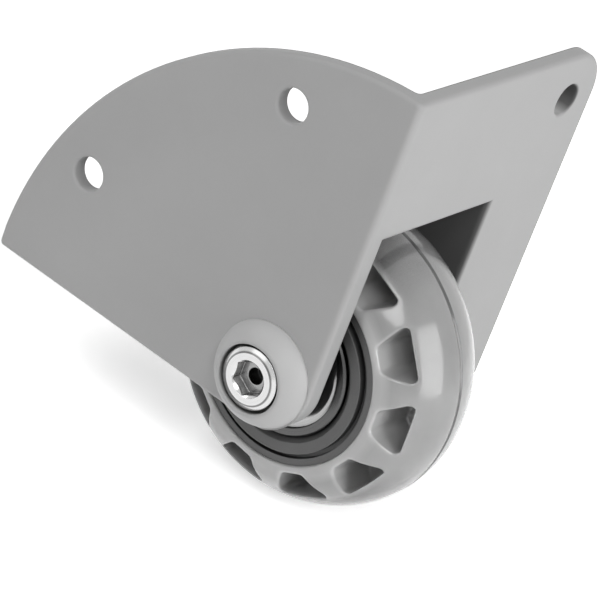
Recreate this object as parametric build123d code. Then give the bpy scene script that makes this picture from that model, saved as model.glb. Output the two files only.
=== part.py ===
from build123d import *
import os
from math import cos, hypot, radians, sin, tan

# Corner caster for a case: a folded steel corner that carries one small wheel on two ball bearings.
# While it is modelled, the outer corner of the sheet is at zero: X runs inward along the axle, from
# the side plate's outer face, Y runs back along the bottom edge, and Z runs up along the front fold.
# Lengths are millimetres and angles are degrees.

# Folded bracket
sheet = 2.5                     # thickness of the steel
leg_length = 59.3               # height of the front wall and depth of the bottom wall
wall_width = 51.0               # width of both walls, along the axle
bend_outside = 1.0              # radius outside each fold
bend_inside = 1.0               # radius inside each fold
edge_round = 0.7                # rolled edge on the sheet's outer side
screw_hole_radius = 2.65        # all four mounting holes
hole_edge_round = 0.4           # their rolled mouths
side_hole_inset = 7.5           # side plate's holes from its round rim
side_hole_angles = (22.0, 68.0)
wall_hole_inset = 7.7           # wall hole from both free edges, also the wall's corner radius
window_height = 36.3            # top of the wheel's window
well_width = 28.5               # free width between side plate's fold and ear
seam_gap = 0.4                  # open seam between the two walls, and beside the ear

# Ear, the window's flap folded inward
ear_reach = 28.0
ear_top_depth = 12.0            # straight part of the ear's top
ear_shoulder = 20.0             # height at which the ear's sloping top meets its free edge
ear_foot_cut = 8.0              # cut corner at the ear's foot
ear_corner_radius = 3.0

# Axle
axle_inset = 8.5                # axle from the two folds' outer faces
barrel_radius = 4.0
head_radius = 4.85
head_thickness = 2.4
head_bevel = 0.9
head_socket_across = 5.0
head_socket_depth = 2.0
head_socket_chamfer = 0.45
head_pilot_radius = 1.3         # drilled hole in the socket's floor
head_pilot_depth = 4.4          # from the head's face
barrel_short = 0.5              # barrel ends this far short of the ear, so that the screw clamps
screw_radius = 2.5
screw_head_radius = 4.75
screw_head_height = 2.75
screw_head_rim = 0.55           # straight rim under the screw head's crown
screw_head_flat = 2.4           # radius of the flat on its top
screw_head_crown = (2.0, 3.9)   # a point of the crown: height above the washer, radius
screw_socket_across = 3.0
screw_socket_depth = 1.6
screw_engagement = 14.0
screw_well = 3.0                # tapped bore beyond the screw's end
washer_radius = 5.0
washer_thickness = 1.0

# Collar outside the side plate
collar_height = 3.6
collar_base_radius = 8.25
collar_mouth_radius = 5.35
collar_lip = 0.4                # flat lip round the mouth
collar_bulge = 0.35             # crown of its cone

# Ball bearings
race_outer_radius = 11.0
race_width = 7.0
race_chamfer = 0.3
inner_shoulder_radius = 6.2
outer_shoulder_radius = 8.8
ball_count = 7
ball_radius = 1.984
ball_pitch_radius = 7.5
shield_outer_radius = 9.6
shield_inner_radius = 6.5
shield_thickness = 0.4
shield_recess = 0.3             # shield's face below the bearing's face
cage_inner_radius = 7.0
cage_outer_radius = 8.0
cage_edge = 0.35                # cage's rim beyond its ball pockets

# Spacers
near_spacer = 3.0               # side plate to first bearing
bearing_gap = 8.0               # between the bearings, length of the sleeve
spacer_wall = 0.9
sleeve_wall = 1.6

# Wheel
tyre_radius = 24.0
tyre_crown_radius = 12.0
tyre_inner_radius = 15.5
parting_width = 0.4
parting_depth = 0.25
pocket_count = 11
pocket_root = 1.3               # tyre between its bore and the pockets
pocket_skin = 2.8               # tyre between the pockets and its tread
pocket_inner_width = 3.7
pocket_flare = 32.5             # angle of each side to the pocket's middle line
pocket_corner_radius = 0.8
pocket_web = 3.0                # tyre left between the two rows of pockets
pocket_phase = 178.2            # one pocket's centre, from +Y towards +Z
hub_mouth_chamfer = 0.9
hub_band = 1.1                  # rim band between the tyre's bore and the groove
hub_groove_width = 0.8
hub_groove_depth = 0.9
hub_rim_setback = 0.5
hub_rib_height = 1.4            # rib between the bearings, inward from their seats
hub_key_height = 0.8            # key ring that the tyre is moulded round
hub_key_width = 3.0

# Fits
shaft_fit = 0.02                # barrel in races and sleeve, races in hub
screw_fit = 0.25                # screw and barrel in their holes
ball_run = 0.1                  # balls in their grooves and cage

# Places along the axle
well_start = sheet + bend_inside
ear_face = well_start + well_width
ear_back = ear_face + sheet
near_bearing = sheet + near_spacer
far_bearing = near_bearing + race_width + bearing_gap
wheel_end = far_bearing + race_width
wheel_middle = (near_bearing + wheel_end) / 2
head_face = -collar_height
head_seat = head_face + head_thickness
barrel_end = ear_face - barrel_short

# Radii that follow from others
pocket_inner_radius = tyre_inner_radius + pocket_root
pocket_outer_radius = tyre_radius - pocket_skin
hub_key_radius = tyre_inner_radius + hub_key_height
hub_groove_radius = tyre_inner_radius - hub_band
hub_collar_radius = hub_groove_radius - hub_groove_width
hub_rib_radius = race_outer_radius - hub_rib_height

# The frame's origin: middle of the side plate's two holes, on its inner face
side_hole_reach = leg_length - side_hole_inset
side_hole_middle = side_hole_reach * (
    cos(radians(side_hole_angles[0])) + cos(radians(side_hole_angles[1]))
) / 2
frame_origin = Vector(sheet, side_hole_middle, side_hole_middle)


def block(low, high):
    """A box between two corners."""
    size = [b - a for a, b in zip(low, high)]
    centre = [(a + b) / 2 for a, b in zip(low, high)]
    return Pos(*centre) * Box(*size)


def rod(start, end, radius):
    """A cylinder on the axle line from start to end along X."""
    middle = Pos((start + end) / 2, axle_inset, axle_inset)
    return middle * Rot(0, 90, 0) * Cylinder(radius, end - start)


def ring(start, end, inner, outer):
    """A plain ring on the axle line."""
    return rod(start, end, outer) - rod(start - 1, end + 1, inner)


def spun(face, start=0):
    """Revolves a face drawn over (x, radius) about the axle line; start is the face's zero along X."""
    axle = Axis((0, axle_inset, axle_inset), (1, 0, 0))
    return revolve(Plane(origin=(start, axle_inset, axle_inset)) * face, axle)


def turned(points):
    """Revolves a closed outline of (x, radius) points about the axle line."""
    return spun(make_face(Polyline(*points, close=True)))


def hexagon(start, end, across):
    """A hexagonal bar on the axle line."""
    face = Plane(origin=(start, axle_inset, axle_inset), z_dir=(1, 0, 0)) * RegularPolygon(
        across / 2, 6, major_radius=False
    )
    return extrude(face, end - start)


def swapped(shape):
    """The mirror image across the plane at 45 degrees between the two walls."""
    return mirror(shape, about=Plane(origin=(0, 0, 0), z_dir=(0, 1, -1)))


# Bracket

def side_plate():
    """Quarter disc whose rim starts where the folds end; its apex is round about the axle."""
    rim_radius = hypot(leg_length, well_start)
    rim_middle = rim_radius * cos(radians(45))
    apex = axle_inset * (1 - cos(radians(45)))
    outline = [
        Line((axle_inset, 0), (leg_length, 0)),
        Line((leg_length, 0), (leg_length, well_start)),
        ThreePointArc((leg_length, well_start), (rim_middle, rim_middle), (well_start, leg_length)),
        Line((well_start, leg_length), (0, leg_length)),
        Line((0, leg_length), (0, axle_inset)),
        ThreePointArc((0, axle_inset), (apex, apex), (axle_inset, 0)),
    ]
    return extrude(Plane.YZ * make_face(outline), sheet)


def wall_outline():
    """Front wall seen from the front: window open at the bottom, one round corner."""
    inset = wall_hole_inset
    right = wall_width
    top = leg_length
    turn = inset * (1 - cos(radians(45)))
    outline = [
        Line((0, 0), (right, 0)),
        Line((right, 0), (right, top - inset)),
        ThreePointArc((right, top - inset), (right - turn, top - turn), (right - inset, top)),
        Line((right - inset, top), (0, top)),
        Line((0, top), (0, 0)),
    ]
    return make_face(outline)


def wall(window_end):
    """Front wall, with its window cut from the fold to window_end."""
    front = Plane(origin=(0, 0, 0), x_dir=(1, 0, 0), z_dir=(0, -1, 0))
    plate = extrude(front * wall_outline(), -sheet)
    corner = Pos(well_start, well_start, leg_length / 2)
    fold = block((sheet, sheet, 0), (well_start, well_start, leg_length))
    fold -= corner * Cylinder(bend_inside, leg_length)
    window = block((well_start, -1, -1), (window_end, sheet + 1, window_height))
    hole = Pos(wall_width - wall_hole_inset, sheet / 2, leg_length - wall_hole_inset)
    hole *= Rot(90, 0, 0)
    return plate + fold - window - hole * Cylinder(screw_hole_radius, sheet * 2)


def ear():
    """Window flap folded inward, with the axle screw's hole."""
    top = window_height
    corners = [
        (0, 0),
        (ear_reach - ear_foot_cut, 0),
        (ear_reach, ear_foot_cut),
        (ear_reach, ear_shoulder),
        (ear_top_depth, top),
        (0, top),
    ]
    face = make_face(Polyline(*corners, close=True))
    free = [v for v in face.vertices() if v.X > sheet]
    face = fillet(free, ear_corner_radius)
    flap = extrude(Plane.YZ.offset(ear_face) * face, sheet)
    root = block((ear_back, sheet, 0), (ear_back + bend_inside, well_start, top))
    root -= Pos(ear_back + bend_inside, well_start, top / 2) * Cylinder(bend_inside, top * 2)
    return flap + root - rod(ear_face - 1, ear_back + 1, screw_radius + screw_fit)


def ear_bend():
    """What rounding the ear's fold takes off the wall."""
    sharp = block((ear_face - 1, -1, -1), (ear_face + bend_outside, bend_outside, window_height))
    return sharp - Pos(ear_face + bend_outside, bend_outside, 0) * Cylinder(bend_outside, window_height * 3)


def rolled_edges(body):
    """Outer edges of the side plate's rim, its fold ends and both walls."""
    near = edge_round / 10
    chosen = []
    for edge in body.edges():
        x, y, z = edge.center()
        far = max(y, z)
        low = min(y, z)
        on_rim = x < near and hypot(y, z) > leg_length - near
        on_fold_end = x < bend_outside and low < bend_outside and far > leg_length - near
        outer_part = x > wall_width - near or far > leg_length - wall_hole_inset + near
        on_front = y < near and x > bend_outside and outer_part
        on_bottom = z < near and y > sheet and x > bend_outside and outer_part
        if on_rim or on_fold_end or on_front or on_bottom:
            chosen.append(edge)
    return chosen


def hole_mouths(body):
    """Outer edges of the four mounting holes."""
    near = hole_edge_round / 10
    chosen = []
    for edge in body.edges().filter_by(GeomType.CIRCLE):
        if abs(edge.radius - screw_hole_radius) < near and min(edge.arc_center) < near:
            chosen.append(edge)
    return chosen


def bracket():
    """The whole sheet: side plate, front wall with ear, and bottom wall."""
    body = side_plate() + wall(ear_face) + ear() - ear_bend()
    bottom = swapped(wall(ear_back + seam_gap))
    bottom -= block((well_start, -1, -1), (wall_width + 1, sheet + seam_gap, sheet + 1))
    body += bottom
    apex = block((-1, -1, -1), (well_start, axle_inset, axle_inset))
    apex -= rod(-2, well_start + 1, axle_inset)
    body -= apex
    folds = block((0, 0, 0), (wall_width, leg_length, leg_length))
    edges = folds.edges().filter_by(lambda e: e.center().X < 0.01)
    edges = [e for e in edges if abs(e.center().Y) < 0.01 or abs(e.center().Z) < 0.01]
    body = body & fillet(edges, bend_outside)
    body = fillet(rolled_edges(body), edge_round)
    for angle in side_hole_angles:
        y = side_hole_reach * cos(radians(angle))
        z = side_hole_reach * sin(radians(angle))
        body -= Pos(sheet / 2, y, z) * Rot(0, 90, 0) * Cylinder(screw_hole_radius, sheet * 2)
    body = fillet(hole_mouths(body), hole_edge_round)
    return body - rod(-1, sheet + 1, barrel_radius + screw_fit)


# Axle

def axle_collar():
    """Turned collar with a crowned cone and a counterbore for the barrel's head."""
    lip = collar_mouth_radius + collar_lip
    middle = ((head_face - collar_bulge) / 2, (collar_base_radius + lip) / 2 + collar_bulge)
    bore = barrel_radius + screw_fit
    outline = [
        Line((0, bore), (0, collar_base_radius)),
        ThreePointArc((0, collar_base_radius), middle, (head_face, lip)),
        Line((head_face, lip), (head_face, collar_mouth_radius)),
        Line((head_face, collar_mouth_radius), (head_seat, collar_mouth_radius)),
        Line((head_seat, collar_mouth_radius), (head_seat, bore)),
        Line((head_seat, bore), (0, bore)),
    ]
    return spun(make_face(outline))


def axle_barrel():
    """Headed barrel: hex socket with a drilled floor in the head, tapped bore in the far end."""
    tapped = barrel_end - screw_engagement - screw_well
    profile = [
        (head_face, 0),
        (head_face, head_radius - head_bevel),
        (head_face + head_bevel / 2, head_radius),
        (head_seat, head_radius),
        (head_seat, barrel_radius - shaft_fit),
        (barrel_end, barrel_radius - shaft_fit),
        (barrel_end, screw_radius + shaft_fit),
        (tapped, screw_radius + shaft_fit),
        (tapped - screw_radius / 2, 0),
    ]
    body = turned(profile)
    mouth = head_socket_across / 2 + head_socket_chamfer
    body -= turned([(head_face - 1, 0), (head_face - 1, mouth + 1), (head_face + mouth, 0)])
    body -= hexagon(head_face - 1, head_face + head_socket_depth, head_socket_across)
    return body - rod(head_face, head_face + head_pilot_depth, head_pilot_radius)


def axle_washer():
    """Plain washer under the screw's head."""
    return ring(ear_back, ear_back + washer_thickness, screw_radius + screw_fit / 2, washer_radius)


def axle_screw():
    """Button-head screw from the ear's back into the barrel."""
    seat = ear_back + washer_thickness
    top = seat + screw_head_height
    rim = seat + screw_head_rim
    height, radius = screw_head_crown
    outline = [
        Line((seat, 0), (seat, screw_head_radius)),
        Line((seat, screw_head_radius), (rim, screw_head_radius)),
        ThreePointArc((rim, screw_head_radius), (seat + height, radius), (top, screw_head_flat)),
        Line((top, screw_head_flat), (top, 0)),
        Line((top, 0), (seat, 0)),
    ]
    head = spun(make_face(outline))
    head -= hexagon(top - screw_socket_depth, top + 1, screw_socket_across)
    return head + rod(barrel_end - screw_engagement, seat, screw_radius)


def spacer(start, end, wall_thickness):
    """A spacer tube on the barrel."""
    return ring(start, end, barrel_radius, barrel_radius + wall_thickness)


# Bearings

def groove(face):
    """Ball track of one bearing, as a solid ring to cut from its races."""
    track = Pos(face + race_width / 2, ball_pitch_radius) * Circle(ball_radius + ball_run)
    return spun(track)


def ball_places(face):
    """Centres of the balls of the bearing whose near face is at face."""
    for number in range(ball_count):
        angle = radians(360 / ball_count * number)
        y = axle_inset + ball_pitch_radius * cos(angle)
        z = axle_inset + ball_pitch_radius * sin(angle)
        yield Pos(face + race_width / 2, y, z)


def inner_race(face):
    """Inner race with its ball track."""
    end = face + race_width
    bore = barrel_radius
    top = inner_shoulder_radius
    cut = race_chamfer
    profile = [
        (face, bore + cut), (face, top), (end, top), (end, bore + cut), (end - cut, bore), (face + cut, bore),
    ]
    return turned(profile) - groove(face)


def outer_race(face):
    """Outer race with its ball track and a step at each end for a shield."""
    end = face + race_width
    top = race_outer_radius - shaft_fit
    step = shield_recess + shield_thickness
    cut = race_chamfer
    profile = [
        (face, shield_outer_radius),
        (face, top - cut),
        (face + cut, top),
        (end - cut, top),
        (end, top - cut),
        (end, shield_outer_radius),
        (end - step, shield_outer_radius),
        (end - step, outer_shoulder_radius),
        (face + step, outer_shoulder_radius),
        (face + step, shield_outer_radius),
    ]
    return turned(profile) - groove(face)


def shield(outside, inside):
    """Pressed shield between two faces along the axle; its outer face is first."""
    lip = shield_outer_radius - shield_thickness
    depth = (inside - outside) / 4
    profile = [
        (outside, shield_inner_radius),
        (outside, lip - shield_thickness),
        (outside + depth, lip),
        (outside + depth, shield_outer_radius - shaft_fit),
        (inside, shield_outer_radius - shaft_fit),
        (inside, shield_inner_radius),
    ]
    return turned(profile)


def cage(face):
    """Ribbon cage: one ring with a round pocket for each ball."""
    middle = face + race_width / 2
    half = ball_radius + ball_run + cage_edge
    body = ring(middle - half, middle + half, cage_inner_radius, cage_outer_radius)
    for place in ball_places(face):
        body -= place * Sphere(ball_radius + ball_run)
    return body


def balls(face):
    """The balls of one bearing."""
    return Compound(children=[place * Sphere(ball_radius) for place in ball_places(face)])


def bearing(face):
    """The named pieces of one bearing."""
    end = face + race_width
    return {
        "outer_race": outer_race(face),
        "inner_race": inner_race(face),
        "balls": balls(face),
        "cage": cage(face),
        "outer_shield": shield(face + shield_recess, face + shield_recess + shield_thickness),
        "inner_shield": shield(end - shield_recess, end - shield_recess - shield_thickness),
    }


# Wheel

def wheel_hub():
    """Moulded hub: two bearing seats, a rib between them, rims with a groove, and a key ring."""
    start = near_bearing
    end = wheel_end
    seat = race_outer_radius
    inner = near_bearing + race_width
    outer = far_bearing
    mouth = seat + hub_mouth_chamfer
    rim = hub_rim_setback
    deep = hub_rim_setback + hub_groove_depth
    key = hub_key_width / 2
    profile = [
        (start, mouth),
        (start, hub_collar_radius),
        (start + deep, hub_collar_radius),
        (start + deep, hub_groove_radius),
        (start + rim, hub_groove_radius),
        (start + rim, tyre_inner_radius),
        (wheel_middle - key, tyre_inner_radius),
        (wheel_middle - key, hub_key_radius),
        (wheel_middle + key, hub_key_radius),
        (wheel_middle + key, tyre_inner_radius),
        (end - rim, tyre_inner_radius),
        (end - rim, hub_groove_radius),
        (end - deep, hub_groove_radius),
        (end - deep, hub_collar_radius),
        (end, hub_collar_radius),
        (end, mouth),
        (end - hub_mouth_chamfer, seat),
        (outer, seat),
        (outer, hub_rib_radius),
        (inner, hub_rib_radius),
        (inner, seat),
        (start + hub_mouth_chamfer, seat),
    ]
    return turned(profile)


def pocket():
    """One blind pocket of the near side, pointing along +Y from the axle."""
    start = pocket_inner_radius
    end = pocket_outer_radius
    inner = pocket_inner_width / 2
    outer = inner + (end - start) * tan(radians(pocket_flare))
    wedge = make_face(Polyline((start, -inner), (end, -outer), (end, outer), (start, inner), close=True))
    face = wedge & Circle(end)
    face = fillet(face.vertices(), min(pocket_corner_radius, (end - start) / 3))
    depth = wheel_middle - pocket_web / 2
    return extrude(Plane.YZ * face, depth)


def tyre():
    """Full-round tyre with a row of pockets in each side and a fine parting line."""
    drop = tyre_radius - tyre_crown_radius
    half = (wheel_end - near_bearing) / 2
    side_radius = drop + (tyre_crown_radius**2 - half**2) ** 0.5
    key = hub_key_width / 2
    outline = [
        Line((-half, tyre_inner_radius), (-half, side_radius)),
        ThreePointArc((-half, side_radius), (0, tyre_radius), (half, side_radius)),
        Line((half, side_radius), (half, tyre_inner_radius)),
        Line((half, tyre_inner_radius), (key, tyre_inner_radius)),
        Line((key, tyre_inner_radius), (key, hub_key_radius)),
        Line((key, hub_key_radius), (-key, hub_key_radius)),
        Line((-key, hub_key_radius), (-key, tyre_inner_radius)),
        Line((-key, tyre_inner_radius), (-half, tyre_inner_radius)),
    ]
    body = spun(make_face(outline), wheel_middle)
    body -= ring(
        wheel_middle - parting_width / 2,
        wheel_middle + parting_width / 2,
        tyre_radius - parting_depth,
        tyre_radius + 1,
    )
    near = pocket()
    far = mirror(near, about=Plane(origin=(wheel_middle, 0, 0), z_dir=(1, 0, 0)))
    cutters = []
    for number in range(pocket_count):
        turn = Pos(0, axle_inset, axle_inset) * Rot(pocket_phase + 360 / pocket_count * number, 0, 0)
        cutters += [turn * near, turn * far]
    return body - cutters


def pieces():
    """Every node of the part by its name."""
    nodes = {
        "bracket": bracket(),
        "axle_collar": axle_collar(),
        "axle_barrel": axle_barrel(),
        "axle_screw": axle_screw(),
        "axle_washer": axle_washer(),
        "outer_spacer": spacer(sheet, near_bearing, spacer_wall),
        "inner_spacer": spacer(wheel_end, ear_face, spacer_wall),
        "bearing_sleeve": spacer(near_bearing + race_width, far_bearing, sleeve_wall),
        "wheel_hub": wheel_hub(),
        "tyre": tyre(),
    }
    for side, face in (("near", near_bearing), ("far", far_bearing)):
        for name, solid in bearing(face).items():
            nodes[f"{side}_{name}"] = solid
    return nodes


os.makedirs("parts", exist_ok=True)
for name, solid in pieces().items():
    export_step(Pos(*(-frame_origin)) * solid, f"parts/{name}.step")
    print(name, round(solid.volume, 1))
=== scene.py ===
import math

import bmesh
import bpy
from mathutils import Matrix, Vector


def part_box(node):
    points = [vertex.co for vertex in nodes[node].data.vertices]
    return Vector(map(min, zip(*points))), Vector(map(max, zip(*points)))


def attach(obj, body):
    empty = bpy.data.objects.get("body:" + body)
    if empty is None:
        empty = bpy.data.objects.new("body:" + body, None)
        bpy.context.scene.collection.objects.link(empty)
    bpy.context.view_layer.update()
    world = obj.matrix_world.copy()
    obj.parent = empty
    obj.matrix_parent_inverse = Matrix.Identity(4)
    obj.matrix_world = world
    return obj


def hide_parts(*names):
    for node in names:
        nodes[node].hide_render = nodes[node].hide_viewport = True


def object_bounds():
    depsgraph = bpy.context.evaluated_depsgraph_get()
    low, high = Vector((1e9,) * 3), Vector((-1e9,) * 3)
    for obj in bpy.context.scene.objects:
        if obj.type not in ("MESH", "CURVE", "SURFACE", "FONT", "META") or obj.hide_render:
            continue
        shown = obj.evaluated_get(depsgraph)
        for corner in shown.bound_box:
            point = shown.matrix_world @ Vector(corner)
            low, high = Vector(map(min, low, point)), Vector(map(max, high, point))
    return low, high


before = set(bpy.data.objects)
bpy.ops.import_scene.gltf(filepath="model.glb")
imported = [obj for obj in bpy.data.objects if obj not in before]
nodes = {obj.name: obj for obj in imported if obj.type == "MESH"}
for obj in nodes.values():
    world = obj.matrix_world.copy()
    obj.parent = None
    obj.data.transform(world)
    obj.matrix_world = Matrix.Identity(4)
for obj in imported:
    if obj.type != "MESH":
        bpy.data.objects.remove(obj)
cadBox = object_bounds()
mm = 0.001  # one millimetre in Blender's metres
print("frame loaded:", len(nodes), "nodes")

# The axle line and the wheel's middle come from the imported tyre
tyreLow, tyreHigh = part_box("tyre")
wheelMiddle = (tyreLow + tyreHigh) / 2


# Node groups
edgeLightSamples = 6
creviceSamples = 12


def newGroup(name, inputs, outputs):
    group = bpy.data.node_groups.new(name, "ShaderNodeTree")
    for label, kind, value in inputs:
        socket = group.interface.new_socket(name=label, in_out="INPUT", socket_type=kind)
        if value is not None:
            socket.default_value = value
    for label, kind in outputs:
        group.interface.new_socket(name=label, in_out="OUTPUT", socket_type=kind)
    source = group.nodes.new("NodeGroupInput")
    result = group.nodes.new("NodeGroupOutput")
    return group, source, result


def addNode(tree, kind, settings=None, values=None):
    node = tree.nodes.new(kind)
    for key, value in (settings or {}).items():
        setattr(node, key, value)
    for key, value in (values or {}).items():
        node.inputs[key].default_value = value
    return node


def makeMottle():
    # soft patches in tone, with a finer layer over them
    group, source, result = newGroup(
        "mottle",
        [("Patch Size", "NodeSocketFloat", 90.0), ("Fine Size", "NodeSocketFloat", 900.0),
         ("Fine Share", "NodeSocketFloat", 0.35)],
        [("Tone", "NodeSocketFloat")],
    )
    place = addNode(group, "ShaderNodeTexCoord")
    patch = addNode(group, "ShaderNodeTexNoise", values={"Detail": 3.0, "Roughness": 0.55})
    fine = addNode(group, "ShaderNodeTexNoise", values={"Detail": 4.0, "Roughness": 0.6})
    blend = addNode(group, "ShaderNodeMix", {"data_type": "FLOAT"})
    link = group.links.new
    link(place.outputs["Object"], patch.inputs["Vector"])
    link(place.outputs["Object"], fine.inputs["Vector"])
    link(source.outputs["Patch Size"], patch.inputs["Scale"])
    link(source.outputs["Fine Size"], fine.inputs["Scale"])
    link(source.outputs["Fine Share"], blend.inputs["Factor"])
    link(patch.outputs["Fac"], blend.inputs[2])
    link(fine.outputs["Fac"], blend.inputs[3])
    link(blend.outputs[0], result.inputs["Tone"])
    return group


def makeEdgeLight():
    # 1 on rounded and sharp outer edges, 0 on the flats; the materials tone the edges with it, partly as
    # wear and partly as painted highlight
    group, source, result = newGroup(
        "edgeLight",
        [("Width", "NodeSocketFloat", 0.0005), ("Gain", "NodeSocketFloat", 6.0)],
        [("Edge", "NodeSocketFloat"), ("Soft Normal", "NodeSocketVector")],
    )
    bevel = addNode(group, "ShaderNodeBevel", {"samples": edgeLightSamples})
    shape = addNode(group, "ShaderNodeNewGeometry")
    dot = addNode(group, "ShaderNodeVectorMath", {"operation": "DOT_PRODUCT"})
    away = addNode(group, "ShaderNodeMath", {"operation": "SUBTRACT"}, {0: 1.0})
    gain = addNode(group, "ShaderNodeMath", {"operation": "MULTIPLY", "use_clamp": True})
    link = group.links.new
    link(source.outputs["Width"], bevel.inputs["Radius"])
    link(bevel.outputs["Normal"], dot.inputs[0])
    link(shape.outputs["Normal"], dot.inputs[1])
    link(dot.outputs["Value"], away.inputs[1])
    link(away.outputs[0], gain.inputs[0])
    link(source.outputs["Gain"], gain.inputs[1])
    link(gain.outputs[0], result.inputs["Edge"])
    link(bevel.outputs["Normal"], result.inputs["Soft Normal"])
    return group


def fromAxle(group, source):
    # distance from the axle line, and the place along it
    place = addNode(group, "ShaderNodeTexCoord")
    away = addNode(group, "ShaderNodeVectorMath", {"operation": "SUBTRACT"})
    split = addNode(group, "ShaderNodeSeparateXYZ")
    flat = addNode(group, "ShaderNodeCombineXYZ")
    length = addNode(group, "ShaderNodeVectorMath", {"operation": "LENGTH"})
    link = group.links.new
    link(place.outputs["Object"], away.inputs[0])
    link(source.outputs["Centre"], away.inputs[1])
    link(away.outputs[0], split.inputs[0])
    link(split.outputs["Y"], flat.inputs["Y"])
    link(split.outputs["Z"], flat.inputs["Z"])
    link(flat.outputs[0], length.inputs[0])
    return length.outputs["Value"], split.outputs["X"]


def makeTurningMarks():
    # fine circles round the axle line, as a lathe or a grinding wheel leaves them
    group, source, result = newGroup(
        "turningMarks",
        [("Centre", "NodeSocketVector", None), ("Pitch", "NodeSocketFloat", 9000.0)],
        [("Marks", "NodeSocketFloat")],
    )
    radius, along = fromAxle(group, source)
    pair = addNode(group, "ShaderNodeCombineXYZ")
    noise = addNode(group, "ShaderNodeTexNoise", values={"Detail": 2.0})
    link = group.links.new
    link(radius, pair.inputs["X"])
    link(along, pair.inputs["Y"])
    link(pair.outputs[0], noise.inputs["Vector"])
    link(source.outputs["Pitch"], noise.inputs["Scale"])
    link(noise.outputs["Fac"], result.inputs["Marks"])
    return group


def makeCrevice():
    # 1 deep in corners and narrow gaps, 0 in the open; the materials darken colour where it is 1, as
    # painted shade
    group, source, result = newGroup(
        "crevice",
        [("Reach", "NodeSocketFloat", 0.012), ("Dark At", "NodeSocketFloat", 0.15),
         ("Clear At", "NodeSocketFloat", 0.6)],
        [("Depth", "NodeSocketFloat")],
    )
    openness = addNode(group, "ShaderNodeAmbientOcclusion", {"samples": creviceSamples})
    ramp = addNode(group, "ShaderNodeMapRange", values={"To Min": 1.0, "To Max": 0.0})
    link = group.links.new
    link(source.outputs["Reach"], openness.inputs["Distance"])
    link(openness.outputs["AO"], ramp.inputs["Value"])
    link(source.outputs["Dark At"], ramp.inputs["From Min"])
    link(source.outputs["Clear At"], ramp.inputs["From Max"])
    link(ramp.outputs["Result"], result.inputs["Depth"])
    return group


def makeAxleBand():
    # 1 between two radii from the axle line, with soft borders, and the place along that line
    group, source, result = newGroup(
        "axleBand",
        [("Centre", "NodeSocketVector", None), ("Inner", "NodeSocketFloat", 0.0),
         ("Outer", "NodeSocketFloat", 0.01), ("Soft", "NodeSocketFloat", 0.0002)],
        [("Band", "NodeSocketFloat"), ("Along", "NodeSocketFloat")],
    )
    radius, along = fromAxle(group, source)
    past = addNode(group, "ShaderNodeMath", {"operation": "SUBTRACT"})
    short = addNode(group, "ShaderNodeMath", {"operation": "SUBTRACT"})
    least = addNode(group, "ShaderNodeMath", {"operation": "MINIMUM"})
    soften = addNode(group, "ShaderNodeMath", {"operation": "DIVIDE", "use_clamp": True})
    link = group.links.new
    link(radius, past.inputs[0])
    link(source.outputs["Inner"], past.inputs[1])
    link(source.outputs["Outer"], short.inputs[0])
    link(radius, short.inputs[1])
    link(past.outputs[0], least.inputs[0])
    link(short.outputs[0], least.inputs[1])
    link(least.outputs[0], soften.inputs[0])
    link(source.outputs["Soft"], soften.inputs[1])
    link(soften.outputs[0], result.inputs["Band"])
    link(along, result.inputs["Along"])
    return group


mottle = makeMottle()
edgeLight = makeEdgeLight()
turningMarks = makeTurningMarks()
crevice = makeCrevice()
axleBand = makeAxleBand()
print("node groups made")


# Materials
noiseLow, noiseHigh = 0.3, 0.7  # most of a noise lies between these


def grey(value):
    return (value, value, value, 1.0)


def tonePair(tree, mask, dark, light):
    # grey that runs from dark to light over a noise
    ramp = addNode(tree, "ShaderNodeMapRange", values={"From Min": noiseLow, "From Max": noiseHigh})
    mixed = addNode(tree, "ShaderNodeMix", {"data_type": "RGBA"})
    mixed.inputs[6].default_value = grey(dark)
    mixed.inputs[7].default_value = grey(light)
    tree.links.new(mask, ramp.inputs["Value"])
    tree.links.new(ramp.outputs["Result"], mixed.inputs["Factor"])
    return mixed.outputs[2]


def newMaterial(name, fixed):
    material = bpy.data.materials.new(name)
    material.use_nodes = True
    tree = material.node_tree
    shader = tree.nodes["Principled BSDF"]
    for key, value in fixed.items():
        shader.inputs[key].default_value = value
    return material, tree, shader


def placeGroup(tree, group, values=None):
    return addNode(tree, "ShaderNodeGroup", {"node_tree": group}, values)


def towards(tree, colour, mask, tone):
    # colour runs to a grey tone where mask is 1
    mixed = addNode(tree, "ShaderNodeMix", {"data_type": "RGBA"})
    mixed.inputs[7].default_value = grey(tone)
    tree.links.new(colour, mixed.inputs[6])
    tree.links.new(mask, mixed.inputs["Factor"])
    return mixed.outputs[2]


def addRange(tree, mask, low, high, socket):
    # mask 0..1 becomes low..high on the socket
    ranged = addNode(tree, "ShaderNodeMapRange", values={"To Min": low, "To Max": high})
    tree.links.new(mask, ranged.inputs["Value"])
    tree.links.new(ranged.outputs["Result"], socket)


def addBump(tree, shader, height, bump, under=None):
    # bump is (depth in metres, strength)
    node = addNode(tree, "ShaderNodeBump", values={"Distance": bump[0], "Strength": bump[1]})
    tree.links.new(height, node.inputs["Height"])
    if under is not None:
        tree.links.new(under, node.inputs["Normal"])
    tree.links.new(node.outputs["Normal"], shader.inputs["Normal"])


def multiply(tree, first, second):
    product = addNode(tree, "ShaderNodeMath", {"operation": "MULTIPLY"})
    tree.links.new(first, product.inputs[0])
    tree.links.new(second, product.inputs[1])
    return product.outputs[0]


def maskRange(tree, value, full, none):
    # 1 where value is at full, falling to 0 at none
    ramp = addNode(tree, "ShaderNodeMapRange", values={
        "From Min": full, "From Max": none, "To Min": 1.0, "To Max": 0.0})
    tree.links.new(value, ramp.inputs["Value"])
    return ramp.outputs["Result"]


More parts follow.
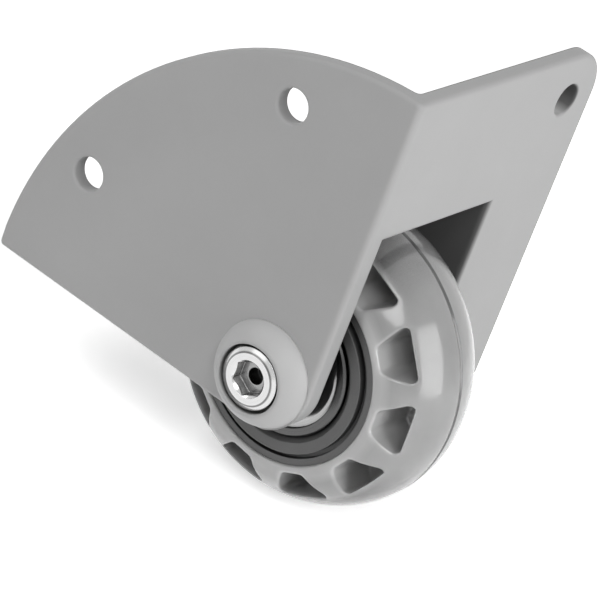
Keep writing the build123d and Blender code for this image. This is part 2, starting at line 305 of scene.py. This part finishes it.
def wheelSideOfEar(tree, place, earFace):
    # 1 on faces turned to the side plate that lie as far along the axle as the ear; the coat paints shade
    # there, darkening the ear's wheel side
    shape = addNode(tree, "ShaderNodeNewGeometry")
    turned = addNode(tree, "ShaderNodeSeparateXYZ")
    where = addNode(tree, "ShaderNodeSeparateXYZ")
    tree.links.new(shape.outputs["Normal"], turned.inputs[0])
    tree.links.new(place.outputs["Object"], where.inputs[0])
    facing = maskRange(tree, turned.outputs["X"], -0.8, -0.2)
    beyond = maskRange(tree, where.outputs["X"], earFace - 0.5 * mm, earFace - mm)
    return multiply(tree, facing, beyond)


# grey values run from 0 to 1, lengths are metres and noise sizes are scales
paintSettings = {
    "dark": 0.52, "light": 0.56, "rough": (0.42, 0.52), "specular": 0.35,
    "patches": {"Patch Size": 45.0, "Fine Size": 2600.0, "Fine Share": 0.2},
    "edgeWearAndHighlight": {"Width": 0.0006, "Gain": 5.0}, "edgeWearAndHighlightTone": 0.5,
    "grain": {"Scale": 2600.0, "Detail": 3.0}, "bump": (0.00002, 0.25),
    "shade": {"Reach": 0.006, "Dark At": 0.0, "Clear At": 0.55}, "shadeTone": 0.16,
    "earFace": None, "earShadeTone": 0.1,
}
bracketSettings = {**paintSettings, "earFace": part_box("inner_spacer")[1].x}
# painted light: the bracket's grey coat made lighter, with lighter edges as painted highlight, for the
# light the collar's cone catches
collarSettings = {
    **paintSettings, "dark": 0.6, "light": 0.64, "edgeWearAndHighlightTone": 0.7,
    "shade": {"Reach": 0.002, "Dark At": 0.1, "Clear At": 0.5},
}
hubSettings = {
    "dark": 0.095, "light": 0.125, "rough": (0.32, 0.45), "specular": 0.5,
    "patches": {"Patch Size": 120.0, "Fine Size": 3000.0, "Fine Share": 0.3},
    "edgeWearAndHighlight": {"Width": 0.0003, "Gain": 3.0}, "edgeWearAndHighlightTone": 0.2,
    "grain": {"Scale": 3000.0, "Detail": 2.0}, "bump": (0.00001, 0.2),
    "shade": {"Reach": 0.003, "Dark At": 0.2, "Clear At": 0.75}, "shadeTone": 0.01,
    "earFace": None,
}


def makeCoat(name, settings):
    # paint or moulded plastic: mottled grey, edges partly worn and partly painted highlight, painted shade
    # in corners and gaps and, for the bracket, on the ear's wheel side, and a fine grain
    material, tree, shader = newMaterial(name, {"Specular IOR Level": settings["specular"]})
    patches = placeGroup(tree, mottle, settings["patches"])
    edge = placeGroup(tree, edgeLight, settings["edgeWearAndHighlight"])
    shade = placeGroup(tree, crevice, settings["shade"])
    base = tonePair(tree, patches.outputs["Tone"], settings["dark"], settings["light"])
    # edges run to a set tone: partly wear, partly painted highlight on the rims
    wornAndHighlitEdges = towards(tree, base, edge.outputs["Edge"], settings["edgeWearAndHighlightTone"])
    # painted shade: corners and narrow gaps darkened in the colour
    colour = towards(tree, wornAndHighlitEdges, shade.outputs["Depth"], settings["shadeTone"])
    place = addNode(tree, "ShaderNodeTexCoord")
    # painted shade: the ear's face towards the wheel is darkened as if it lay in shadow
    if settings["earFace"] is not None:
        earShade = wheelSideOfEar(tree, place, settings["earFace"])
        colour = towards(tree, colour, earShade, settings["earShadeTone"])
    tree.links.new(colour, shader.inputs["Base Color"])
    addRange(tree, patches.outputs["Tone"], *settings["rough"], shader.inputs["Roughness"])
    grain = addNode(tree, "ShaderNodeTexNoise", values=settings["grain"])
    tree.links.new(place.outputs["Object"], grain.inputs["Vector"])
    addBump(tree, shader, grain.outputs["Fac"], settings["bump"], edge.outputs["Soft Normal"])
    return material


steelSettings = {
    "edgeWearAndHighlight": {"Width": 0.0002, "Gain": 4.0}, "bumpDepth": 0.00001, "bands": [], "bandSoft": 0.0002,
    "shade": {"Reach": 0.004, "Dark At": 0.1, "Clear At": 0.7}, "shadeShare": 0.12,
}
axleSettings = {
    **steelSettings, "dark": 0.49, "light": 0.59, "rough": (0.12, 0.24),
    "pitch": 9000.0, "marks": 0.15, "edgeWearAndHighlightTone": 0.75,
    "bands": [
        {"Inner": -0.01, "Outer": 0.0026, "Tone": 0.3},  # painted shade in the hex socket, everything this close to the axle line
        {"Inner": 0.00385, "Outer": 0.0043, "Tone": 0.12},  # painted reflection: a dark ring on the head's bevel
    ],
}
raceSettings = {
    **steelSettings, "dark": 0.2, "light": 0.28, "rough": (0.2, 0.32),
    "pitch": 12000.0, "marks": 0.3, "edgeWearAndHighlightTone": 0.5,
    "bands": [{"Inner": 0.0094, "Outer": 0.0115, "Tone": 0.09}],  # painted shade on the outer race's face, deep in the hub
}
spacerSettings = {
    **steelSettings, "dark": 0.24, "light": 0.3, "rough": (0.3, 0.42),
    "pitch": 7000.0, "marks": 0.4, "edgeWearAndHighlightTone": 0.45,
}
shieldSettings = {
    **steelSettings, "dark": 0.3, "light": 0.38, "rough": (0.14, 0.24),
    "pitch": 5000.0, "marks": 0.15, "edgeWearAndHighlightTone": 0.55,
}
cageSettings = {
    **steelSettings, "dark": 0.3, "light": 0.38, "rough": (0.3, 0.45),
    "pitch": 6000.0, "marks": 0.2, "edgeWearAndHighlightTone": 0.45,
}
ballSettings = {
    **steelSettings, "dark": 0.66, "light": 0.72, "rough": (0.04, 0.09),
    "pitch": 3000.0, "marks": 0.05, "edgeWearAndHighlightTone": 0.75,
}


def makeSteel(name, settings):
    # bare steel with turning marks round the axle line
    material, tree, shader = newMaterial(name, {"Metallic": 1.0})
    marks = placeGroup(tree, turningMarks, {"Centre": wheelMiddle, "Pitch": settings["pitch"]})
    edge = placeGroup(tree, edgeLight, settings["edgeWearAndHighlight"])
    shade = placeGroup(tree, crevice, settings["shade"])
    base = tonePair(tree, marks.outputs["Marks"], settings["dark"], settings["light"])
    # edges run to a set tone: partly wear, partly painted highlight on the rims
    colour = towards(tree, base, edge.outputs["Edge"], settings["edgeWearAndHighlightTone"])
    # each band paints a ring round the axle line at a set tone: painted shade or a painted reflection
    for band in settings["bands"]:
        ring = placeGroup(tree, axleBand, {
            "Centre": wheelMiddle, "Inner": band["Inner"], "Outer": band["Outer"],
            "Soft": settings["bandSoft"]})
        colour = towards(tree, colour, ring.outputs["Band"], band["Tone"])
    # painted shade: corners and narrow gaps darkened towards a share of the steel's dark tone
    shadeTone = settings["dark"] * settings["shadeShare"]
    colour = towards(tree, colour, shade.outputs["Depth"], shadeTone)
    tree.links.new(colour, shader.inputs["Base Color"])
    addRange(tree, marks.outputs["Marks"], *settings["rough"], shader.inputs["Roughness"])
    addBump(tree, shader, marks.outputs["Marks"], (settings["bumpDepth"], settings["marks"]),
            edge.outputs["Soft Normal"])
    return material


tyreSettings = {
    "dark": 0.4, "light": 0.45, "rough": (0.16, 0.26), "bump": (0.00005, 0.3),
    "patches": {"Patch Size": 110.0, "Fine Size": 900.0, "Fine Share": 0.12},
    "paleRing": {"Inner": 0.0145, "Outer": 0.0185, "Soft": 0.0014}, "paleTone": 0.58,
    "web": (0.003, 0.006), "webTone": 0.5,
    "webRing": {"Inner": 0.0155, "Outer": 0.0226, "Soft": 0.0004},
    "seam": (0.000288, 0.00048), "seamTone": 0.12,
    "treadRing": {"Inner": 0.0212, "Outer": 0.03, "Soft": 0.0008},
    "shade": {"Reach": 0.02, "Dark At": 0.55, "Clear At": 0.92}, "shadeTone": 0.1,
    "clear": {
        "Specular IOR Level": 0.6, "Subsurface Weight": 1.0, "Subsurface Radius": (1.0, 1.0, 1.0),
        "Subsurface Scale": 0.0025, "Coat Weight": 0.6, "Coat Roughness": 0.1,
    },
}


def makeTyreElastomer(name, settings):
    material, tree, shader = newMaterial(name, settings["clear"])
    patches = placeGroup(tree, mottle, settings["patches"])
    base = tonePair(tree, patches.outputs["Tone"], settings["dark"], settings["light"])
    pale = placeGroup(tree, axleBand, {"Centre": wheelMiddle, **settings["paleRing"]})
    colour = towards(tree, base, pale.outputs["Band"], settings["paleTone"])
    away = addNode(tree, "ShaderNodeMath", {"operation": "ABSOLUTE"})
    tree.links.new(pale.outputs["Along"], away.inputs[0])
    # painted light: the thin web behind each pocket is lightened, standing in for light coming through it
    web = placeGroup(tree, axleBand, {"Centre": wheelMiddle, **settings["webRing"]})
    glow = multiply(tree, maskRange(tree, away.outputs[0], *settings["web"]), web.outputs["Band"])
    colour = towards(tree, colour, glow, settings["webTone"])
    seam = maskRange(tree, away.outputs[0], *settings["seam"])
    colour = towards(tree, colour, seam, settings["seamTone"])
    # painted shade: the tread is darkened where it runs close under the window's edge
    tread = placeGroup(tree, axleBand, {"Centre": wheelMiddle, **settings["treadRing"]})
    shade = placeGroup(tree, crevice, settings["shade"])
    dim = multiply(tree, tread.outputs["Band"], shade.outputs["Depth"])
    colour = towards(tree, colour, dim, settings["shadeTone"])
    tree.links.new(colour, shader.inputs["Base Color"])
    addRange(tree, patches.outputs["Tone"], *settings["rough"], shader.inputs["Roughness"])
    addBump(tree, shader, patches.outputs["Tone"], settings["bump"])
    return material


bracketPaint = makeCoat("satinGreyCoat", bracketSettings)
collarPaint = makeCoat("collarGreyCoat", collarSettings)
hubPlastic = makeCoat("darkHubMoulding", hubSettings)
brightSteel = makeSteel("brightAxleSteel", axleSettings)
groundSteel = makeSteel("groundRaceSteel", raceSettings)
spacerSteel = makeSteel("turnedSpacerSteel", spacerSettings)
shieldSteel = makeSteel("pressedShieldSteel", shieldSettings)
cageSteel = makeSteel("cageStrip", cageSettings)
ballSteel = makeSteel("polishedBallSteel", ballSettings)
tyreElastomer = makeTyreElastomer("paleTyreElastomer", tyreSettings)
print("materials made")


def dress(name, material):
    for item in nodes[name].material_slots:
        item.material = material


dress("bracket", bracketPaint)
dress("axle_collar", collarPaint)
for part in ("axle_barrel", "axle_screw", "axle_washer"):
    dress(part, brightSteel)
for part in ("outer_spacer", "inner_spacer", "bearing_sleeve"):
    dress(part, spacerSteel)
for side in ("near", "far"):
    dress(side + "_outer_race", groundSteel)
    dress(side + "_inner_race", groundSteel)
    dress(side + "_balls", ballSteel)
    dress(side + "_cage", cageSteel)
    dress(side + "_outer_shield", shieldSteel)
    dress(side + "_inner_shield", shieldSteel)
dress("wheel_hub", hubPlastic)
dress("tyre", tyreElastomer)
print("frame dressed")


# Tyre
# lengths are millimetres and the phase is degrees
tyrePlan = {
    "radius": 24.0, "crown": 12.0, "bore": 15.5, "boreChamfer": 0.25, "sideStart": 15.95,
    "shoulder": 22.4, "halfWidth": 11.0, "creaseBlend": 1.1, "pockets": 11, "phase": 178.2,
    "pocketInner": 16.8, "pocketOuter": 21.5, "innerWidth": 3.7, "outerWidth": 9.4,
    "outerCorner": 0.65, "innerCorner": 1.2, "outerBow": 0.15, "cornerSteps": 8, "bowSteps": 10,
    "rim": 0.4, "rimSteps": 4, "floor": 1.5, "floorRound": 0.6, "floorSteps": 3, "taper": 0.14,
    "sideRings": (0.3, 0.55, 0.78, 1.0), "wallRings": (0.33, 0.66), "floorRings": (0.35, 0.7),
    "across": 24, "along": 16, "crownSteps": 28,
    "partingHalf": 0.25, "partingFloor": 0.45, "partingDepth": 0.25,
}


def sideDepth(radius, plan):
    # distance of the tyre's side from the wheel's middle, at a radius
    drop = plan["radius"] - plan["crown"]
    curve = math.sqrt(max(plan["crown"] ** 2 - (radius - drop) ** 2, 0.0))
    blend = plan["creaseBlend"]
    gap = curve - plan["halfWidth"]
    # soft minimum of the flat side and the crown, so that the crease is round
    share = max(blend - abs(gap), 0.0) / blend
    return min(curve, plan["halfWidth"]) - share * share * blend * 0.25


def roundedOutline(corners, radii, steps):
    # one arc for each corner of a closed outline, as lists of points
    paths = []
    count = len(corners)
    for index, corner in enumerate(corners):
        before = (corners[index - 1] - corner).normalized()
        after = (corners[(index + 1) % count] - corner).normalized()
        half = before.angle(after) / 2
        radius = radii[index]
        reach = radius / math.tan(half)
        middle = corner + (before + after).normalized() * (radius / math.sin(half))
        start = corner + before * reach - middle
        end = corner + after * reach - middle
        turn = start.angle_signed(end)
        path = []
        for step in range(steps + 1):
            angle = -turn * step / steps
            path.append(middle + Matrix.Rotation(angle, 2) @ start)
        paths.append(path)
    return paths


def walk(points, count):
    # count points at even steps along an open path, its last point left out
    lengths = [0.0]
    for first, second in zip(points, points[1:]):
        lengths.append(lengths[-1] + (second - first).length)
    found = []
    place = 0
    for step in range(count):
        target = lengths[-1] * step / count
        while lengths[place + 1] < target:
            place += 1
        span = lengths[place + 1] - lengths[place]
        found.append(points[place].lerp(points[place + 1], (target - lengths[place]) / span))
    return found


def pocketOutline(plan):
    # rounded trapezoid in the plane of the side, out along its own middle line
    outer = plan["outerWidth"] / 2
    inner = plan["innerWidth"] / 2
    reach = math.sqrt(plan["pocketOuter"] ** 2 - outer ** 2)
    corners = [
        Vector((plan["pocketInner"], -inner)), Vector((plan["pocketInner"], inner)),
        Vector((reach, outer)), Vector((reach, -outer)),
    ]
    radii = [plan["innerCorner"]] * 2 + [plan["outerCorner"]] * 2
    arcs = roundedOutline(corners, radii, plan["cornerSteps"])
    bow = []
    for step in range(1, plan["bowSteps"]):
        share = step / plan["bowSteps"]
        point = arcs[2][-1].lerp(arcs[3][0], share)
        point.x += 4 * plan["outerBow"] * share * (1 - share)
        bow.append(point)
    sides = [[], [], bow, []]
    counts = [plan["across"], plan["along"], plan["across"], plan["along"]]
    outline = []
    for index in range(4):
        arc = arcs[index]
        following = arcs[(index + 1) % 4]
        half = len(arc) // 2
        outline += walk(arc[half:] + sides[index] + following[:half + 1], counts[index])
    return outline


def offsetOutline(outline, distance):
    moved = []
    count = len(outline)
    for index, point in enumerate(outline):
        along = outline[(index + 1) % count] - outline[index - 1]
        normal = Vector((-along.y, along.x)).normalized()
        moved.append(point + normal * distance)
    return moved


def sectorBorder(plan):
    # the sector round one pocket: inner edge, one side, outer edge, other side
    half = math.pi / plan["pockets"]
    low, high = plan["sideStart"], plan["shoulder"]
    across, along = plan["across"], plan["along"]
    polar = [(low, -half + 2 * half * i / across) for i in range(across)]
    polar += [(low + (high - low) * i / along, half) for i in range(along)]
    polar += [(high, half - 2 * half * i / across) for i in range(across)]
    polar += [(high - (high - low) * i / along, -half) for i in range(along)]
    return [Vector((r * math.cos(a), r * math.sin(a))) for r, a in polar]


def pocketRings(plan):
    # rings of (flat point, distance from the wheel's middle), from the sector's border to the floor
    border = sectorBorder(plan)
    outline = pocketOutline(plan)
    rim = plan["rim"]
    lip = offsetOutline(outline, rim)
    rings = [border]
    for share in plan["sideRings"]:
        rings.append([a.lerp(b, share) for a, b in zip(border, lip)])
    solid = [[(p, sideDepth(p.length, plan)) for p in ring] for ring in rings]
    for step in range(1, plan["rimSteps"] + 1):
        angle = math.pi / 2 * step / plan["rimSteps"]
        ring = offsetOutline(outline, rim * (1 - math.sin(angle)))
        drop = rim * (1 - math.cos(angle))
        solid.append([(p, sideDepth(p.length, plan) - drop) for p in ring])
    floor, fillet, taper = plan["floor"], plan["floorRound"], plan["taper"]
    top = [depth for point, depth in solid[-1]]
    for share in plan["wallRings"]:
        ring = offsetOutline(outline, -taper * share)
        solid.append([(p, a + (floor + fillet - a) * share) for p, a in zip(ring, top)])
    for step in range(plan["floorSteps"] + 1):
        angle = math.pi / 2 * step / plan["floorSteps"]
        ring = offsetOutline(outline, -taper - fillet * (1 - math.cos(angle)))
        solid.append([(p, floor + fillet * (1 - math.sin(angle))) for p in ring])
    inner = [p for p, depth in solid[-1]]
    middle = sum(inner, Vector((0, 0))) / len(inner)
    for share in plan["floorRings"]:
        solid.append([(p.lerp(middle, share), floor) for p in inner])
    return solid, middle


weldReach = 0.000002  # metres, joins the sectors and the rings between them


def buildTyre(plan):
    mesh = bmesh.new()
    rings, middle = pocketRings(plan)
    pitch = 2 * math.pi / plan["pockets"]
    phase = math.radians(plan["phase"])

    def put(x, radius, angle):
        return mesh.verts.new((
            wheelMiddle.x + x * mm,
            wheelMiddle.y + radius * math.cos(angle) * mm,
            wheelMiddle.z + radius * math.sin(angle) * mm,
        ))

    def bridge(first, second, flip):
        count = len(first)
        for i in range(count):
            corners = [first[i], first[(i + 1) % count], second[(i + 1) % count], second[i]]
            mesh.faces.new(corners[::-1] if flip else corners)

    for side in (-1, 1):
        for number in range(plan["pockets"]):
            turn = phase + pitch * number
            rows = []
            for ring in rings:
                rows.append([
                    put(side * depth, point.length, turn + math.atan2(point.y, point.x))
                    for point, depth in ring
                ])
            for first, second in zip(rows, rows[1:]):
                bridge(first, second, side < 0)
            centre = put(side * plan["floor"], middle.length, turn + math.atan2(middle.y, middle.x))
            last = rows[-1]
            for i in range(len(last)):
                corners = [last[i], last[(i + 1) % len(last)], centre]
                mesh.faces.new(corners[::-1] if side < 0 else corners)
    # crown, sides' inner rings and bore share the sectors' angles
    drop = plan["radius"] - plan["crown"]
    edge = math.acos((plan["shoulder"] - drop) / plan["crown"])
    parting = plan["partingHalf"] / plan["crown"]
    steps = plan["crownSteps"]
    left = [(-edge + (edge - parting) * step / steps, 0.0) for step in range(steps)]
    right = [(parting + (edge - parting) * step / steps, 0.0) for step in range(steps + 1)]
    groove = [
        (-parting, 0.0), (-parting * plan["partingFloor"], plan["partingDepth"]),
        (parting * plan["partingFloor"], plan["partingDepth"]),
    ]
    crown = []
    for angle, sunk in left + groove + right:
        crown.append((plan["crown"] * math.sin(angle), drop + plan["crown"] * math.cos(angle) - sunk))
    shoulder = sideDepth(plan["shoulder"], plan)
    crown[0] = (-shoulder, plan["shoulder"])
    crown[-1] = (shoulder, plan["shoulder"])
    start = sideDepth(plan["sideStart"], plan)
    bore, chamfer = plan["bore"], plan["boreChamfer"]
    rows = [
        (-start, plan["sideStart"]), (-start, bore + chamfer), (-start + chamfer, bore),
        (start - chamfer, bore), (start, bore + chamfer), (start, plan["sideStart"]),
    ]
    around = plan["pockets"] * plan["across"]
    for path, flip in ((crown, True), (rows, False)):
        loops = []
        for x, radius in path:
            turns = [phase - pitch / 2 + 2 * math.pi * i / around for i in range(around)]
            loops.append([put(x, radius, turn) for turn in turns])
        for first, second in zip(loops, loops[1:]):
            bridge(first, second, not flip)
    bmesh.ops.remove_doubles(mesh, verts=mesh.verts, dist=weldReach)
    bmesh.ops.recalc_face_normals(mesh, faces=mesh.faces)
    data = bpy.data.meshes.new("tyre_detailed")
    mesh.to_mesh(data)
    mesh.free()
    data.shade_smooth()
    data.materials.append(tyreElastomer)
    piece = bpy.data.objects.new("tyre_detailed", data)
    bpy.context.scene.collection.objects.link(piece)
    return piece


tyre = buildTyre(tyrePlan)
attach(tyre, "wheel")
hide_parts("tyre")
print("tyre built:", len(tyre.data.polygons), "faces")


# Floor, background and lamps
studio = {
    "floorDrop": 0.0002, "floorSize": 3.0, "floorTone": 0.9, "eyeTone": 1.6, "floorLift": 0.52,
    "speckle": {"Patch Size": 6.0, "Fine Size": 60.0, "Fine Share": 0.3}, "speckleSpan": 0.01,
    "ambient": 0.06, "lampDistance": 0.9,
}

# name, direction from the object, width and height in metres, watts
lamps = [
    ("frontLamp", (0.0, -0.95, 0.3), (0.55, 0.7), 4.0),
    ("leftLamp", (-0.9, 0.35, 0.22), (0.45, 0.45), 0.55),
    ("highLamp", (-0.61, -0.43, 0.735), (0.4, 0.4), 1.9),
    ("rearLamp", (-0.25, 0.6, 0.75), (0.45, 0.45), 2.1),
]


def seenByEye(tree):
    # 1 for camera, mirror and glass rays, 0 for the rays that light the object
    rays = addNode(tree, "ShaderNodeLightPath")
    either = addNode(tree, "ShaderNodeMath", {"operation": "MAXIMUM"})
    anyOf = addNode(tree, "ShaderNodeMath", {"operation": "MAXIMUM"})
    tree.links.new(rays.outputs["Is Camera Ray"], either.inputs[0])
    tree.links.new(rays.outputs["Is Glossy Ray"], either.inputs[1])
    tree.links.new(either.outputs[0], anyOf.inputs[0])
    tree.links.new(rays.outputs["Is Transmission Ray"], anyOf.inputs[1])
    return anyOf.outputs[0]


def buildFloor():
    mesh = bpy.data.meshes.new("floor")
    half = studio["floorSize"] / 2
    z = cadBox[0].z - studio["floorDrop"]
    corners = [(-half, -half, z), (half, -half, z), (half, half, z), (-half, half, z)]
    mesh.from_pydata(corners, [], [(0, 1, 2, 3)])
    floor = bpy.data.objects.new("floor", mesh)
    bpy.context.scene.collection.objects.link(floor)
    material, tree, shader = newMaterial("paleFloor", {"Roughness": 0.9, "Specular IOR Level": 0.1})
    speckle = placeGroup(tree, mottle, studio["speckle"]).outputs["Tone"]
    span = studio["speckleSpan"]
    tone = studio["floorTone"]
    tree.links.new(tonePair(tree, speckle, tone - span, tone + span), shader.inputs["Base Color"])
    # the camera and mirrors see it lifted towards white, so only the shadow stays grey
    pale = addNode(tree, "ShaderNodeBsdfDiffuse")
    bright = studio["eyeTone"]
    tree.links.new(tonePair(tree, speckle, bright - span, bright + span), pale.inputs["Color"])
    lift = addNode(tree, "ShaderNodeEmission", values={"Strength": studio["floorLift"]})
    both = addNode(tree, "ShaderNodeAddShader")
    seen = addNode(tree, "ShaderNodeMixShader")
    tree.links.new(pale.outputs[0], both.inputs[0])
    tree.links.new(lift.outputs[0], both.inputs[1])
    tree.links.new(seenByEye(tree), seen.inputs[0])
    tree.links.new(shader.outputs[0], seen.inputs[1])
    tree.links.new(both.outputs[0], seen.inputs[2])
    tree.links.new(seen.outputs[0], tree.nodes["Material Output"].inputs["Surface"])
    mesh.materials.append(material)


def buildWorld():
    world = bpy.data.worlds.new("softStudio")
    bpy.context.scene.world = world
    world.use_nodes = True
    tree = world.node_tree
    tree.nodes.clear()
    out = addNode(tree, "ShaderNodeOutputWorld")
    white = grey(1.0)
    ambient = addNode(tree, "ShaderNodeBackground", values={"Color": white, "Strength": studio["ambient"]})
    plain = addNode(tree, "ShaderNodeBackground", values={"Color": white, "Strength": 1.0})
    choose = addNode(tree, "ShaderNodeMixShader")
    link = tree.links.new
    link(seenByEye(tree), choose.inputs[0])
    link(ambient.outputs[0], choose.inputs[1])
    link(plain.outputs[0], choose.inputs[2])
    link(choose.outputs[0], out.inputs["Surface"])


def addLamp(name, direction, distance, size, power):
    lamp = bpy.data.lights.new(name, "AREA")
    lamp.shape = "RECTANGLE"
    lamp.size, lamp.size_y = size
    lamp.energy = power
    holder = bpy.data.objects.new(name, lamp)
    bpy.context.scene.collection.objects.link(holder)
    outward = Vector(direction).normalized()
    centre = (cadBox[0] + cadBox[1]) / 2
    holder.location = centre + outward * distance
    holder.rotation_euler = outward.to_track_quat("Z", "Y").to_euler()


buildFloor()
buildWorld()
for name, direction, size, power in lamps:
    addLamp(name, direction, studio["lampDistance"], size, power)
print("studio built")


# Camera
cameraPlan = {
    "fromWheel": (-0.429025, -0.218997, 0.257923),  # from the wheel's middle, metres
    "azimuth": -62.35, "elevation": 27.68, "roll": 21.09,
    "lens": 218.9, "sensor": 36.0, "shiftX": -0.0110, "shiftY": 0.0115,
    "clipStart": 0.01, "clipEnd": 20.0,
}


def buildCamera(plan):
    camera = bpy.data.objects.new("camera", bpy.data.cameras.new("camera"))
    bpy.context.scene.collection.objects.link(camera)
    camera.data.sensor_width = plan["sensor"]
    camera.data.lens = plan["lens"]
    camera.data.shift_x = plan["shiftX"]
    camera.data.shift_y = plan["shiftY"]
    camera.data.clip_start = plan["clipStart"]
    camera.data.clip_end = plan["clipEnd"]
    turn = math.radians(plan["azimuth"])
    rise = math.radians(plan["elevation"])
    back = Vector((math.sin(turn) * math.cos(rise), -math.cos(turn) * math.cos(rise), math.sin(rise)))
    level = back.to_track_quat("Z", "Y").to_matrix()
    tilt = Matrix.Rotation(math.radians(plan["roll"]), 3, "Z")
    place = wheelMiddle + Vector(plan["fromWheel"])
    camera.matrix_world = Matrix.Translation(place) @ (level @ tilt).to_4x4()
    bpy.context.scene.camera = camera


buildCamera(cameraPlan)
bpy.context.scene.view_settings.view_transform = "Standard"
print("camera placed")

bpy.context.view_layer.update()
